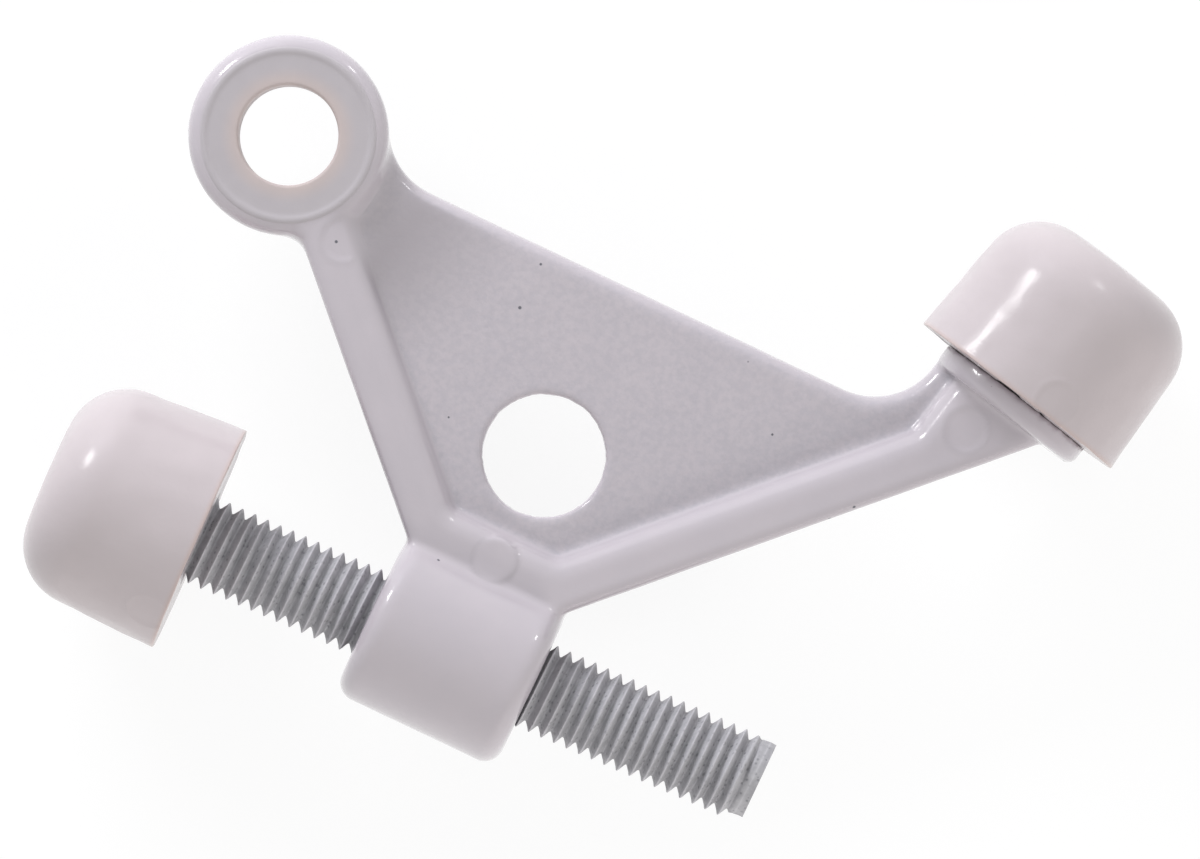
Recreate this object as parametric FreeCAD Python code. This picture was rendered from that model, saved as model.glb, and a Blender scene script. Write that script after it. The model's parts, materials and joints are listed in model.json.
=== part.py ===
# Hinge pin door stop, in millimetres.
# The eye drops over a door's hinge pin. One bumper stands on the casting's arm and meets the wall or the
# trim, and the other rides on a threaded rod, which screws in and out of the boss to set the stop's angle.
# The origin is the centre of the eye, +Z runs along the hinge pin, and +X runs along the boss,
# towards the free end of the rod. The casting is the same on both faces, so it serves either hand.

import FreeCAD
import Part
import math
import os

# Eye and its bushing
PIN_BORE_D = 9.1            # hinge pin's hole in the bushing
EYE_OUTER_D = 18.24
EYE_HEIGHT = 7.8
EYE_EDGE_R = 1.65           # rounding of the eye's outer edges
BUSHING_WALL = 1.45
BUSHING_FLANGE_D = 14.7
BUSHING_FLANGE_T = 1.2
BUSHING_SINK = 0.35         # how far the bushing's ends lie below the eye's faces
BUSHING_CHAMFER = 0.4       # at both mouths of the pin's hole
BUSHING_FIT = 0.03          # radial room round the bushing

# Boss and threaded rod
BOSS_X = 33.4               # from the eye to the middle of the boss, along the boss
BOSS_DROP = 35.8            # from the eye down to the boss's axis
BOSS_D = 16.2
BOSS_LENGTH = 16.15
BOSS_EDGE_R = 1.8
ROD_D = 8.0                 # outside of the thread
ROD_LEAN = 1.8              # degrees that the tapped hole leans from the boss's own axis
ROD_TO_BUMPER = 25.0        # from the middle of the boss to the rod bumper's open end
ROD_TO_TAIL = 30.4          # from the middle of the boss to the rod's free end
ROD_TAIL_CHAMFER = 0.5
ROD_RUN_FIT = 0.05          # radial room round the rod in the boss

# Legs and web of the casting
LEG_HEIGHT = 7.5
LEG_WIDTH = 5.1             # from a leg's outer edge to the foot of the pocket's wall
LEG_EDGE_R = 1.0            # rounding of the legs' outer edges
LEG_ROUND_R = 2.2           # broad rounding of the legs' inner edges, over the pocket
LEG_INSET = 0.4             # the legs' sides lie this far inside the boss's ends
LEG_APEX_DROP = 0.55        # the legs' outer edges meet this far below the boss's axis
EYE_LEG_OFFSET = 2.1        # the eye leg's outer edge passes this far from the eye's centre
EYE_LEG_FILLET_R = 1.0
BOSS_SHOULDER = 11.75       # from the boss's axis up to the foot of the pocket's wall
BOSS_FILLET_R = 1.5         # corner between the arm leg and the boss
BOSS_BLEND_R = 1.0          # blend of the legs into the boss
POCKET_CORNER_R = 1.5
POCKET_LEAN = 20.0          # degrees that the pocket's walls lean out
POCKET_FLOOR_R = 0.5
WEB_THICKNESS = 3.2
WEB_EDGE_Y = 0.8            # the web's long edge, above the eye's centre
WEB_EDGE_R = 1.45
WEB_EYE_FILLET_R = 6.5
WEB_ARM_FILLET_R = 6.7
WEB_HOLE_D = 11.2
WEB_HOLE_RISE = 19.5        # from the boss's axis up to the hole in the web
WEB_HOLE_EDGE_R = 0.4

# Seat for the arm's bumper
ARM_REACH = 69.9            # from the eye to the bumper's open end, along the boss
ARM_RISE = 7.0              # from the eye's centre up to the bumper's open end
ARM_ANGLE = 77.7            # degrees from +X that the bumper faces
ARM_LEG_OFFSET = 4.95       # the arm leg's outer edge meets the seat this far from its axis
SEAT_D = 15.5
SEAT_T = 2.0
SEAT_EDGE_R = 0.9           # on the side away from the bumper
SEAT_GAP = 0.1              # gap between the seat and the bumper
STUB_OFFSET = 5.7           # from the bumper's axis to the foot of the pocket's wall beside it
SEAT_MARGIN = 0.15          # the web's edge stays this far inside the seat's rim
SEAT_BLEND_R = 0.45         # blend of the arm into the seat

# Ejector pad beside the boss, on the casting's upper face
EJECTOR_D = 4.1
EJECTOR_PROUD = 0.15
EJECTOR_SETBACK = 2.65      # from the foot of the pocket's wall to the middle of the pad

# Bumpers, and the round head that holds each of them
BUMPER_D = 21.5             # at the open end
BUMPER_HEIGHT = 15.2
BUMPER_DRAFT = 2.6          # degrees that the side leans in
BUMPER_SHOULDER_R = 5.6
BUMPER_CROWN = 0.5          # how far the end bulges out
HEAD_D = 12.0
HEAD_T = 3.2
HEAD_CHAMFER = 0.6
LIP_T = 4.0                 # rubber between the open end and the head
SOCKET_FIT = 0.08           # room round the head and its neck

TOUCH = 1e-4                # two points this close are the same
PROBE = 0.03                # how far from an edge the metal is felt for
CREASE_ANGLE = 0.1          # radians between two faces that makes their edge a crease
REACH_PAST = 40.0           # how far a cutting tool runs on past the casting
EDGE_SHARE = 0.47           # a rounded edge takes at most this share of its wall's height
ROUND_SHARE = 0.7           # and the broad rounding of a leg's inner edge at most this one
CORNER_SHARE = 0.9          # a rounded corner takes at most this share of the lines beside it

Vec = FreeCAD.Vector
UP = Vec(0, 0, 1)
ALONG = Vec(1, 0, 0)


def heading(degrees):
    """Unit vector in the XY plane."""
    turn = math.radians(degrees)
    return Vec(math.cos(turn), math.sin(turn), 0)


def left_of(direction):
    """The direction turned a quarter to the left in the XY plane."""
    return Vec(-direction.y, direction.x, 0)


def crossing(point_a, along_a, point_b, along_b):
    """Where two lines in the XY plane meet."""
    span = point_b - point_a
    slant = along_a.x * along_b.y - along_a.y * along_b.x
    return point_a + along_a * ((span.x * along_b.y - span.y * along_b.x) / slant)


def arc(start, middle, end):
    return Part.Arc(start, middle, end).toShape()


def rounded_path(points, radii):
    """Edges of an open path through the points, with each inner corner rounded by its radius."""
    edges = []
    start = points[0]
    for before, corner, after, radius in zip(points, points[1:], points[2:], radii):
        to_before = (before - corner).normalize()
        to_after = (after - corner).normalize()
        half_turn = to_before.getAngle(to_after) / 2
        room = CORNER_SHARE * min((start - corner).Length, (after - corner).Length)
        cut_back = min(radius / math.tan(half_turn), room)
        radius = cut_back * math.tan(half_turn)
        enter = corner + to_before * cut_back
        leave = corner + to_after * cut_back
        inward = (to_before + to_after).normalize()
        middle = corner + inward * (radius / math.sin(half_turn) - radius)
        edges.append(Part.makeLine(start, enter))
        edges.append(arc(enter, middle, leave))
        start = leave
    edges.append(Part.makeLine(start, points[-1]))
    return edges


def eye_blend(outward, offset, away, radius):
    """Arc that blends a straight edge of the casting into the eye's rim, from the edge to the rim."""
    eye_r = EYE_OUTER_D / 2
    reach = math.sqrt((eye_r + radius) ** 2 - (offset + radius) ** 2)
    centre = outward * (offset + radius) + away * reach
    on_edge = outward * offset + away * reach
    on_eye = centre * (eye_r / (eye_r + radius))
    middle = centre + ((on_edge - centre).normalize() + (on_eye - centre).normalize()).normalize() * radius
    return on_edge, middle, on_eye


def edges_at_height(shape, height):
    """Edges that lie flat at this distance above or below the middle plane."""
    found = []
    for edge in shape.Edges:
        heights = [vertex.Z for vertex in edge.Vertexes] + [edge.CenterOfMass.z]
        if all(abs(abs(z) - height) < TOUCH for z in heights):
            found.append(edge)
    return found


def lies_over(edge, lines):
    """Whether the middle of an edge is over or under one of some lines in the XY plane."""
    middle = edge.valueAt((edge.FirstParameter + edge.LastParameter) / 2)
    return lines.distToShape(Part.Vertex(middle.x, middle.y, 0))[0] < TOUCH


def inner_creases(shape, centre, reach):
    """Sharp inward corners of a shape within reach of a point."""
    found = []
    for edge in shape.Edges:
        middle = edge.valueAt((edge.FirstParameter + edge.LastParameter) / 2)
        faces = shape.ancestorsOfType(edge, Part.Face)
        if middle.distanceToPoint(centre) > reach or len(faces) != 2:
            continue
        first, second = [face.normalAt(*face.Surface.parameter(middle)) for face in faces]
        if first.getAngle(second) < CREASE_ANGLE:
            continue
        across = (first - second).normalize() * PROBE
        if shape.isInside(middle + across, TOUCH, False) and shape.isInside(middle - across, TOUCH, False):
            found.append(edge)
    return found


def round_rims(solid):
    """Circular edges of a disc or barrel."""
    return [edge for edge in solid.Edges if isinstance(edge.Curve, Part.Circle)]


def turned(profile, base, direction):
    """A closed profile in X (radius) and Z (height) turned about Z, then stood on a base."""
    solid = Part.Face(Part.Wire(profile)).revolve(Vec(0, 0, 0), UP, 360)
    solid.Placement = FreeCAD.Placement(base, FreeCAD.Rotation(UP, direction))
    return solid


def outline_of(points):
    """Edges of a closed outline through points given as (radius, height)."""
    corners = [Vec(r, 0, z) for r, z in points]
    return [Part.makeLine(a, b) for a, b in zip(corners, corners[1:] + corners[:1])]


# Points and directions that several pieces share
boss_centre = Vec(BOSS_X, -BOSS_DROP, 0)
rod_along = heading(ROD_LEAN)
rod_bumper_base = boss_centre - rod_along * ROD_TO_BUMPER

arm_along = heading(ARM_ANGLE)
arm_left = left_of(arm_along)
arm_bumper_base = Vec(ARM_REACH, ARM_RISE, 0)
seat_top = arm_bumper_base - arm_along * SEAT_GAP
seat_middle = seat_top - arm_along * (SEAT_T / 2)

pocket_depth = (LEG_HEIGHT - WEB_THICKNESS) / 2
leg_edge_r = min(LEG_EDGE_R, EDGE_SHARE * pocket_depth)
leg_round_r = min(LEG_ROUND_R, ROUND_SHARE * pocket_depth / (1 - math.sin(math.radians(POCKET_LEAN))))
pocket_floor_r = min(POCKET_FLOOR_R, EDGE_SHARE * pocket_depth)
web_edge_r = min(WEB_EDGE_R, EDGE_SHARE * WEB_THICKNESS)
seat_edge_r = min(SEAT_EDGE_R, EDGE_SHARE * SEAT_T)

apex = boss_centre - Vec(0, LEG_APEX_DROP, 0)
apex_to_eye = Vec(0, 0, 0) - apex
eye_bearing = math.degrees(math.atan2(apex_to_eye.y, apex_to_eye.x))
eye_leg_along = heading(eye_bearing + math.degrees(math.asin(EYE_LEG_OFFSET / apex_to_eye.Length)))
eye_leg_inward = left_of(eye_leg_along) * -1
arm_leg_end = seat_middle - arm_left * ARM_LEG_OFFSET
arm_leg_along = (arm_leg_end - apex).normalize()
arm_leg_inward = left_of(arm_leg_along)


def pocket_wall(height):
    """Outline of the pocket at a height above the web: along the eye's leg, past the boss, along the
    arm's leg and up beside the bumper. The walls lean, so it widens with the height."""
    spread = height * math.tan(math.radians(POCKET_LEAN))
    eye_wall = apex + eye_leg_inward * (LEG_WIDTH - spread)
    arm_wall = apex + arm_leg_inward * (LEG_WIDTH - spread)
    boss_wall = boss_centre + Vec(0, BOSS_SHOULDER - spread, 0)
    stub_wall = seat_middle + arm_left * (STUB_OFFSET - spread)
    corners = [
        eye_wall + eye_leg_along * (apex_to_eye.Length + REACH_PAST),
        crossing(eye_wall, eye_leg_along, boss_wall, ALONG),
        crossing(arm_wall, arm_leg_along, boss_wall, ALONG),
        crossing(arm_wall, arm_leg_along, stub_wall, arm_along),
        stub_wall + arm_along * REACH_PAST,
    ]
    edges = rounded_path(corners, [POCKET_CORNER_R + spread] * 3)
    edges.append(Part.makeLine(corners[-1], corners[0]))
    wire = Part.Wire(edges)
    wire.translate(UP * (WEB_THICKNESS / 2 + height))
    return wire


def casting_outline():
    """Outer edge of the casting between the eye, the boss and the seat, the web's share of it and the lines
    of it that lie inside the eye, the boss and the seat."""
    boss_start = boss_centre - ALONG * (BOSS_LENGTH / 2 - LEG_INSET)
    boss_end = boss_centre + ALONG * (BOSS_LENGTH / 2 - LEG_INSET)
    web_edge = Vec(0, WEB_EDGE_Y, 0)
    web_seat_end = seat_middle + arm_left * (SEAT_D / 2 - SEAT_MARGIN)
    leg_edge, leg_bend, leg_eye = eye_blend(
        eye_leg_inward * -1, EYE_LEG_OFFSET, eye_leg_along * -1, EYE_LEG_FILLET_R
    )
    top_edge, top_bend, top_eye = eye_blend(Vec(0, 1, 0), WEB_EDGE_Y, ALONG, WEB_EYE_FILLET_R)
    boss_side = rounded_path(
        [leg_edge, crossing(apex, eye_leg_along, boss_start, Vec(0, 1, 0)), boss_start],
        [leg_edge_r],
    )
    arm_side = rounded_path(
        [boss_end, crossing(apex, arm_leg_along, boss_end, Vec(0, 1, 0)), arm_leg_end],
        [BOSS_FILLET_R],
    )
    web_side = rounded_path(
        [web_seat_end, crossing(web_seat_end, arm_along, web_edge, ALONG), top_edge],
        [WEB_ARM_FILLET_R],
    )
    in_boss = Part.makeLine(boss_start, boss_end)
    in_seat = Part.makeLine(arm_leg_end, web_seat_end)
    in_eye = Part.makeLine(top_eye, leg_eye)
    eye_side = [arc(leg_eye, leg_bend, leg_edge)]
    web_rim = web_side + [arc(top_edge, top_bend, top_eye)]
    outline = Part.Wire(eye_side + boss_side + [in_boss] + arm_side + [in_seat] + web_rim + [in_eye])
    return outline, Part.Compound(web_rim), Part.Compound([in_boss, in_seat, in_eye])


def legs_and_web():
    """Legs at their full height round a pocket on each face, with the thin web left between the pockets."""
    outline, web_rim, buried = casting_outline()
    plate = Part.Face(outline).extrude(UP * LEG_HEIGHT)
    plate.translate(UP * (-LEG_HEIGHT / 2))

    pocket = Part.makeLoft([pocket_wall(0), pocket_wall(LEG_HEIGHT)], True, True)
    pocket = pocket.makeFillet(pocket_floor_r, edges_at_height(pocket, WEB_THICKNESS / 2))
    plate = plate.cut(pocket).cut(pocket.mirror(Vec(0, 0, 0), UP))

    top = LEG_HEIGHT / 2
    inner = [edge for edge in edges_at_height(plate, top) if not lies_over(edge, outline)]
    plate = plate.makeFillet(leg_round_r, inner)
    rims = [edge for edge in edges_at_height(plate, top) if lies_over(edge, outline)]
    plate = plate.makeFillet(leg_edge_r, [edge for edge in rims if not lies_over(edge, buried)])
    rim = [edge for edge in edges_at_height(plate, WEB_THICKNESS / 2) if lies_over(edge, web_rim)]
    return plate.makeFillet(web_edge_r, rim)


def eye():
    puck = Part.makeCylinder(EYE_OUTER_D / 2, EYE_HEIGHT, UP * (-EYE_HEIGHT / 2))
    return puck.makeFillet(EYE_EDGE_R, edges_at_height(puck, EYE_HEIGHT / 2))


def boss():
    barrel = Part.makeCylinder(BOSS_D / 2, BOSS_LENGTH, boss_centre - ALONG * (BOSS_LENGTH / 2), ALONG)
    return barrel.makeFillet(BOSS_EDGE_R, round_rims(barrel))


def arm_seat():
    back = seat_top - arm_along * SEAT_T
    disc = Part.makeCylinder(SEAT_D / 2, SEAT_T, back, arm_along)
    back_rim = [edge for edge in round_rims(disc) if edge.Curve.Center.distanceToPoint(back) < TOUCH]
    return disc.makeFillet(seat_edge_r, back_rim)


def head(base, direction, neck_start):
    """Round head on a neck, for a bumper whose open end is at the base."""
    neck_length = LIP_T + HEAD_T / 2 - neck_start
    neck = Part.makeCylinder(ROD_D / 2, neck_length, base + direction * neck_start, direction)
    disc = Part.makeCylinder(HEAD_D / 2, HEAD_T, base + direction * LIP_T, direction)
    return neck.fuse(disc.makeChamfer(HEAD_CHAMFER, round_rims(disc)))


def ejector_pad():
    """Round pad that an ejector pin leaves beside the boss."""
    centre = boss_centre + Vec(0, BOSS_SHOULDER - EJECTOR_SETBACK, 0)
    return Part.makeCylinder(EJECTOR_D / 2, LEG_HEIGHT / 2 + EJECTOR_PROUD, centre)


def body_casting():
    solid = legs_and_web().fuse(boss()).removeSplitter()
    boss_reach = math.hypot(BOSS_LENGTH, BOSS_D) / 2 + BOSS_BLEND_R
    solid = solid.makeFillet(BOSS_BLEND_R, inner_creases(solid, boss_centre, boss_reach))
    solid = solid.fuse(arm_seat()).removeSplitter()
    seat_reach = SEAT_D / 2 + SEAT_BLEND_R
    solid = solid.makeFillet(SEAT_BLEND_R, inner_creases(solid, seat_middle, seat_reach))
    stud = head(arm_bumper_base, arm_along, -SEAT_GAP - SEAT_T / 2)
    solid = solid.multiFuse([eye(), stud, ejector_pad()]).removeSplitter()

    sleeve_r = PIN_BORE_D / 2 + BUSHING_WALL + BUSHING_FIT
    recess_r = BUSHING_FLANGE_D / 2 + BUSHING_FIT
    recess_floor = EYE_HEIGHT / 2 - BUSHING_SINK - BUSHING_FLANGE_T
    bushing_hole = Part.makeCylinder(sleeve_r, EYE_HEIGHT, UP * (-EYE_HEIGHT / 2))
    bushing_recess = Part.makeCylinder(recess_r, EYE_HEIGHT, UP * recess_floor)
    rod_hole = Part.makeCylinder(
        ROD_D / 2 + ROD_RUN_FIT, 2 * REACH_PAST, boss_centre - rod_along * REACH_PAST, rod_along
    )
    web_hole_centre = boss_centre + Vec(0, WEB_HOLE_RISE, 0)
    web_hole = Part.makeCylinder(WEB_HOLE_D / 2, LEG_HEIGHT, web_hole_centre - UP * (LEG_HEIGHT / 2))
    solid = solid.cut(bushing_hole).cut(bushing_recess).cut(rod_hole).cut(web_hole)

    hole_rims = []
    for edge in edges_at_height(solid, WEB_THICKNESS / 2):
        across = [math.hypot(end.X - web_hole_centre.x, end.Y - web_hole_centre.y) for end in edge.Vertexes]
        if all(abs(reach - WEB_HOLE_D / 2) < TOUCH for reach in across):
            hole_rims.append(edge)
    return solid.makeFillet(WEB_HOLE_EDGE_R, hole_rims)


def hinge_pin_bushing():
    bore_r = PIN_BORE_D / 2
    sleeve_r = bore_r + BUSHING_WALL
    bottom = -EYE_HEIGHT / 2 + BUSHING_SINK
    top = EYE_HEIGHT / 2 - BUSHING_SINK
    profile = outline_of([
        (bore_r, bottom),
        (sleeve_r, bottom),
        (sleeve_r, top - BUSHING_FLANGE_T),
        (BUSHING_FLANGE_D / 2, top - BUSHING_FLANGE_T),
        (BUSHING_FLANGE_D / 2, top),
        (bore_r, top),
    ])
    solid = turned(profile, Vec(0, 0, 0), UP)
    mouths = [edge for edge in edges_at_height(solid, top) if abs(edge.Curve.Radius - bore_r) < TOUCH]
    return solid.makeChamfer(BUSHING_CHAMFER, mouths)


def threaded_rod():
    shaft = Part.makeCylinder(ROD_D / 2, ROD_TO_BUMPER + ROD_TO_TAIL, rod_bumper_base, rod_along)
    tail = boss_centre + rod_along * ROD_TO_TAIL
    rims = [edge for edge in shaft.Edges if edge.CenterOfMass.distanceToPoint(tail) < TOUCH]
    shaft = shaft.makeChamfer(ROD_TAIL_CHAMFER, rims)
    return shaft.fuse(head(rod_bumper_base, rod_along * -1, 0)).removeSplitter()


def bumper(base, direction):
    """Tapered rubber cap with a rounded end, and a socket that snaps over a round head."""
    open_r = BUMPER_D / 2
    lean = math.radians(BUMPER_DRAFT)
    shoulder_z = BUMPER_HEIGHT - BUMPER_CROWN
    end_r = open_r - shoulder_z * math.tan(lean)
    neck_r = ROD_D / 2 + SOCKET_FIT
    cavity_r = HEAD_D / 2 + SOCKET_FIT
    cavity_low = LIP_T - SOCKET_FIT
    cavity_high = LIP_T + HEAD_T + SOCKET_FIT
    side = rounded_path(
        [Vec(open_r, 0, 0), Vec(end_r, 0, shoulder_z), Vec(0, 0, BUMPER_HEIGHT)],
        [BUMPER_SHOULDER_R],
    )
    inside = [(0, BUMPER_HEIGHT), (0, cavity_high), (cavity_r, cavity_high), (cavity_r, cavity_low),
              (neck_r, cavity_low), (neck_r, 0), (open_r, 0)]
    corners = [Vec(r, 0, z) for r, z in inside]
    socket = [Part.makeLine(a, b) for a, b in zip(corners, corners[1:])]
    return turned(side + socket, base, direction)


PIECES = {
    "body_casting": body_casting(),
    "hinge_pin_bushing": hinge_pin_bushing(),
    "threaded_rod": threaded_rod(),
    "rod_bumper": bumper(rod_bumper_base, rod_along * -1),
    "arm_bumper": bumper(arm_bumper_base, arm_along),
}

os.makedirs("parts", exist_ok=True)
for name, shape in PIECES.items():
    shape.exportStep("parts/" + name + ".step")
    print(name, "valid", shape.isValid(), "solids", len(shape.Solids), "volume", round(shape.Volume, 1))
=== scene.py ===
"""Looks of a hinge pin door stop: enamelled casting, plated screw, rubber bumpers and nylon bushing."""

import json
import math

import bmesh
import bpy
import numpy as np
from bpy.props import FloatProperty, FloatVectorProperty, IntProperty, PointerProperty
from mathutils import Matrix, Vector, noise


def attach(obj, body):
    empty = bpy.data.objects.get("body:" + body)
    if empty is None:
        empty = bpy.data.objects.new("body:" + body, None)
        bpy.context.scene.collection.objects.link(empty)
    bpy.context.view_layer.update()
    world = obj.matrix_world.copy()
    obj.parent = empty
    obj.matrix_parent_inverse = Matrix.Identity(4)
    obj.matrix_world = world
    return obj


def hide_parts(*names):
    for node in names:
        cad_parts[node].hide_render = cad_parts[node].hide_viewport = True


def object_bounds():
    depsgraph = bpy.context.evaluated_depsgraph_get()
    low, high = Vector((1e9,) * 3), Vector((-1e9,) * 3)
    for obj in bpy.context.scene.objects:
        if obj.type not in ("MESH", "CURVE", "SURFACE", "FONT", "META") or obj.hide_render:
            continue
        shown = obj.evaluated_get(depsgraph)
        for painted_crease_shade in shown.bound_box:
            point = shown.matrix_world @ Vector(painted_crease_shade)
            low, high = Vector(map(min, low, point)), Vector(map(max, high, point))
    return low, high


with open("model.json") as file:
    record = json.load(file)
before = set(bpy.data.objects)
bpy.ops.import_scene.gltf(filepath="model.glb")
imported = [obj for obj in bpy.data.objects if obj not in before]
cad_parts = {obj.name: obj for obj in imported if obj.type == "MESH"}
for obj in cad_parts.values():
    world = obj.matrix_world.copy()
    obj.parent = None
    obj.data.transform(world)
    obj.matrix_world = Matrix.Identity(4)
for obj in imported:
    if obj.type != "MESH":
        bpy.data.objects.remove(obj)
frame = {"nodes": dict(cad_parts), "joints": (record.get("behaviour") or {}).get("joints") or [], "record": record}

bl_info = {
    "name": "Hinge pin door stop",
    "version": (1, 0, 0),
    "blender": (4, 5, 0),
    "location": "View3D > Sidebar > Door stop",
    "description": "Builds the visible pieces of a hinge pin door stop around its solid model",
    "category": "Object",
}

CAD_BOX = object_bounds()
MM = 0.001

# The screw's axis, and its pitch from the coupling of its turn to its travel
SCREW = next(joint for joint in frame["joints"] if joint["name"] == "rod_turn")
COUPLING = frame["record"]["behaviour"]["couplings"][0]
ROD_ALONG = Vector(SCREW["axis"]).normalized()
BOSS_CENTRE = Vector(SCREW["pos_m"])
THREAD_PITCH = 2 * math.pi / COUPLING["ratio"]

# Places and sizes in millimetres that repeat the solid model
ROD_TO_BUMPER = 25.0
ROD_TO_TAIL = 30.4
ARM_BASE = Vector((69.9, 7.0, 0.0)) * MM
ARM_ANGLE = 77.7
BUMPER_D = 21.5
BUMPER_HEIGHT = 15.2
BUMPER_DRAFT = 2.6
BUMPER_SHOULDER_R = 5.6
BUMPER_CROWN = 0.5
LIP_T = 4.0
HEAD_D = 12.0
HEAD_T = 3.2
SOCKET_FIT = 0.08
PIN_BORE_R = 4.55
SLEEVE_R = 6.0
FLANGE_R = 7.42
FLANGE_LOW = 2.35
BUSHING_END = 3.55
MOUTH_R = 0.3
EYE_R = 9.12
EYE_TOP = 3.9
LEG_TOP = 3.75
LEG_ROUND_R = 2.2
BOSS_SLOPE_START = -26.37
SEAT_R = 7.75
WEB_HOLE = (33.4, -16.3)
WEB_HOLE_R = 5.6
BOSS_HALF = 8.1


# Sizes and colours that a user would change

class CastingSettings(bpy.types.PropertyGroup):
    grain: FloatProperty(
        name="Mesh spacing", description="Distance between the points of the casting's surface",
        default=0.29 * MM, unit="LENGTH", precision=5)
    flow: IntProperty(
        name="Paint flow", description="How far the thick enamel rounds the casting's corners", default=14, min=0)
    unevenness: FloatProperty(
        name="Unevenness", description="Height of the slow waves in the enamel", default=0.02 * MM, unit="LENGTH",
        precision=6)
    screw_hole: FloatProperty(
        name="Screw hole", description="Radius of the hole that the screw runs in", default=4.2 * MM, unit="LENGTH",
        precision=5)
    enamel: FloatVectorProperty(
        name="Enamel", description="Colour of the enamel", subtype="COLOR", size=3, min=0, max=1,
        default=(0.515, 0.472, 0.505))
    # Painted shade: the darker colour of the enamel's creases, which the random mottle of the web also uses
    hollow: FloatVectorProperty(
        name="Hollow", description="Colour of the enamel where it pools in corners", subtype="COLOR", size=3, min=0,
        max=1, default=(0.36, 0.35, 0.395))
    speck: FloatVectorProperty(
        name="Speck", description="Colour of the specks of dirt under the enamel", subtype="COLOR", size=3, min=0,
        max=1, default=(0.10, 0.10, 0.12))


class BushingSettings(bpy.types.PropertyGroup):
    nylon: FloatVectorProperty(
        name="Nylon", description="Colour of the bushing", subtype="COLOR", size=3, min=0, max=1,
        default=(0.475, 0.445, 0.465))
    # Painted light: the warm bounce light on the nylon beside the pin's hole
    mouth: FloatVectorProperty(
        name="Mouth", description="Colour of the bushing beside the pin's hole", subtype="COLOR", size=3, min=0,
        max=1, default=(0.54, 0.465, 0.45))


class ScrewSettings(bpy.types.PropertyGroup):
    pitch: FloatProperty(
        name="Pitch", description="Distance between the thread's turns", default=THREAD_PITCH, unit="LENGTH",
        precision=5)
    crest_r: FloatProperty(
        name="Crest radius", description="Radius at the thread's crests", default=4.12 * MM, unit="LENGTH",
        precision=5)
    root_r: FloatProperty(
        name="Root radius", description="Radius at the bottom of the thread", default=3.28 * MM, unit="LENGTH",
        precision=5)
    crest_at: FloatProperty(
        name="Crest place", description="Where a crest passes the boss's middle, along the screw",
        default=0.6 * MM, unit="LENGTH", precision=5)
    steps: IntProperty(name="Steps", description="Points round one turn of the thread", default=72, min=12)
    zinc: FloatVectorProperty(
        name="Zinc", description="Colour of the plating", subtype="COLOR", size=3, min=0, max=1,
        default=(0.46, 0.455, 0.475))
    pit: FloatVectorProperty(
        name="Pits", description="Colour of the plating's dull pits", subtype="COLOR", size=3, min=0, max=1,
        default=(0.22, 0.22, 0.235))


class BumperSettings(bpy.types.PropertyGroup):
    segments: IntProperty(name="Segments", description="Points round a bumper", default=240, min=24)
    rubber: FloatVectorProperty(
        name="Rubber", description="Colour of the bumpers", subtype="COLOR", size=3, min=0, max=1,
        default=(0.545, 0.489, 0.5))
    rim: FloatVectorProperty(
        name="Rim", description="Colour of the thin edge of a bumper's open end", subtype="COLOR", size=3, min=0,
        max=1, default=(0.55, 0.45, 0.43))
    speck: FloatVectorProperty(
        name="Speck", description="Colour of the specks in the rubber", subtype="COLOR", size=3, min=0, max=1,
        default=(0.20, 0.19, 0.20))


class StageSettings(bpy.types.PropertyGroup):
    sky: FloatProperty(name="Sky", description="Strength of the light from all round", default=0.46, min=0)
    key: FloatProperty(
        name="Key light", description="Power of the large soft lamp", default=3.1, min=0, unit="POWER")
    spark: FloatProperty(
        name="Small lamp", description="Power of the small lamp that makes the highlights", default=0.5, min=0,
        unit="POWER")
    glint: FloatProperty(
        name="Second small lamp", description="Power of the small lamp for the highlights of the right", default=0.12,
        min=0, unit="POWER")
    fill: FloatProperty(
        name="Fill light", description="Power of the soft lamp on the other side", default=1.6, min=0, unit="POWER")
    side: FloatProperty(
        name="Side light", description="Power of the soft lamp beside the part", default=0.5, min=0, unit="POWER")
    floor: FloatVectorProperty(
        name="Floor", description="Colour of the floor", subtype="COLOR", size=3, min=0, max=1,
        default=(0.9, 0.9, 0.9))


class DoorStopSettings(bpy.types.PropertyGroup):
    casting: PointerProperty(type=CastingSettings, name="Casting", description="Enamelled casting")
    bushing: PointerProperty(type=BushingSettings, name="Bushing", description="Bushing in the eye")
    screw: PointerProperty(type=ScrewSettings, name="Screw", description="Threaded rod")
    bumper: PointerProperty(type=BumperSettings, name="Bumpers", description="Rubber bumpers")
    stage: PointerProperty(type=StageSettings, name="Stage", description="Floor, lamps and camera")


# Nodes

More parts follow.
